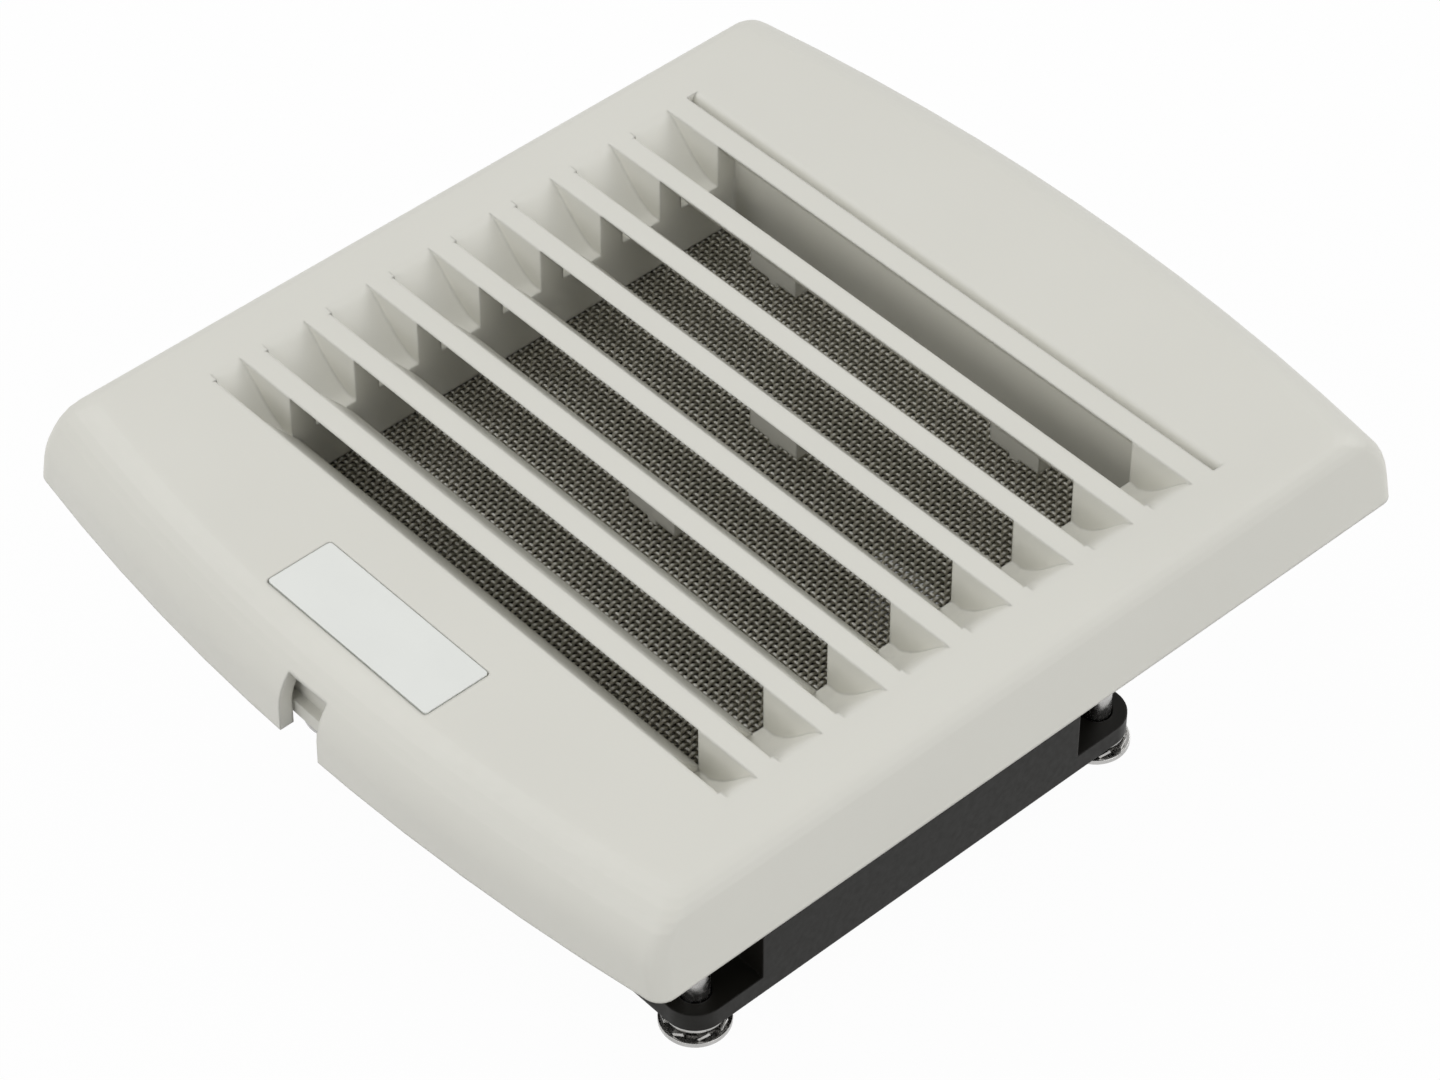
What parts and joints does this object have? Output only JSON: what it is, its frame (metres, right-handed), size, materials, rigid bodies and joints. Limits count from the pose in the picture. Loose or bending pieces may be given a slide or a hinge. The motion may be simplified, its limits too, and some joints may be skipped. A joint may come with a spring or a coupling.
{
  "type": "filter fan",
  "caption": "Panel filter fan: a bowed louvred cover with slanted slats over a woven filter mesh, a base frame with a gasket, and a square axial fan hung behind on long screws.",
  "frame": {"origin": "centre of the square panel cut-out, on the front face of the panel", "axes": "+Z out of the cabinet through the louvred face, +Y across the slats away from the label plate, +X along the slats"},
  "size_m": [0.1196, 0.1347, 0.0591],
  "materials": {
    "cover_plastic": "light grey moulded plastic, satin",
    "base_plastic": "light grey moulded plastic, satin",
    "label_plate": "bare off-white plate, smooth",
    "gasket_foam": "black closed-cell strip",
    "mesh_wire": "woven steel wire, dark with bright knuckles",
    "fan_plastic": "black moulded plastic, satin",
    "screw_steel": "bright plated steel",
    "rotor_steel": "drawn steel",
    "bearing_bronze": "sintered bronze",
    "stator_iron": "stacked iron sheets",
    "insulator_plastic": "natural moulded plastic",
    "coil_wire": "lacquered copper wire",
    "tab_metal": "tinned brass",
    "rear_foil": "plain foil"
  },
  "bodies": {
    "base": {"base_frame": "base_plastic", "panel_gasket": "gasket_foam", "fan_housing": "fan_plastic", "fan_screws": "screw_steel", "thin_washers": "screw_steel", "lock_washers": "screw_steel", "flat_washers": "screw_steel", "bearing_tube": "tab_metal", "front_bearing": "bearing_bronze", "rear_bearing": "bearing_bronze", "stator_core": "stator_iron", "upper_insulator": "insulator_plastic", "lower_insulator": "insulator_plastic", "stator_coils": "coil_wire", "terminal_block": "fan_plastic", "terminal_tabs": "tab_metal", "motor_disc": "rear_foil"},
    "cover": {"cover_grille": "cover_plastic", "badge_plate": "label_plate"},
    "filter": {"filter_mesh": "mesh_wire"},
    "rotor": {"impeller": "fan_plastic", "rotor_shell": "rotor_steel", "rotor_shaft": "rotor_steel", "shaft_clip": "rotor_steel", "thrust_washer": "insulator_plastic"}
  },
  "joints": [
    {"name": "cover_lift", "type": "slide", "parent": "base", "child": "cover", "axis": [0, 0, 1], "range_m": [0, 0.06]},
    {"name": "filter_lift", "type": "slide", "parent": "base", "child": "filter", "axis": [0, 0, 1], "range_m": [0, 0.03]},
    {"name": "fan_spin", "type": "hinge", "parent": "base", "child": "rotor", "pos_m": [0, 0, -0.025], "axis": [0, 0, 1], "continuous": true}
  ],
  "couplings": [
    {"joint": "filter_lift", "follows": "cover_lift", "ratio": 0.5}
  ]
}
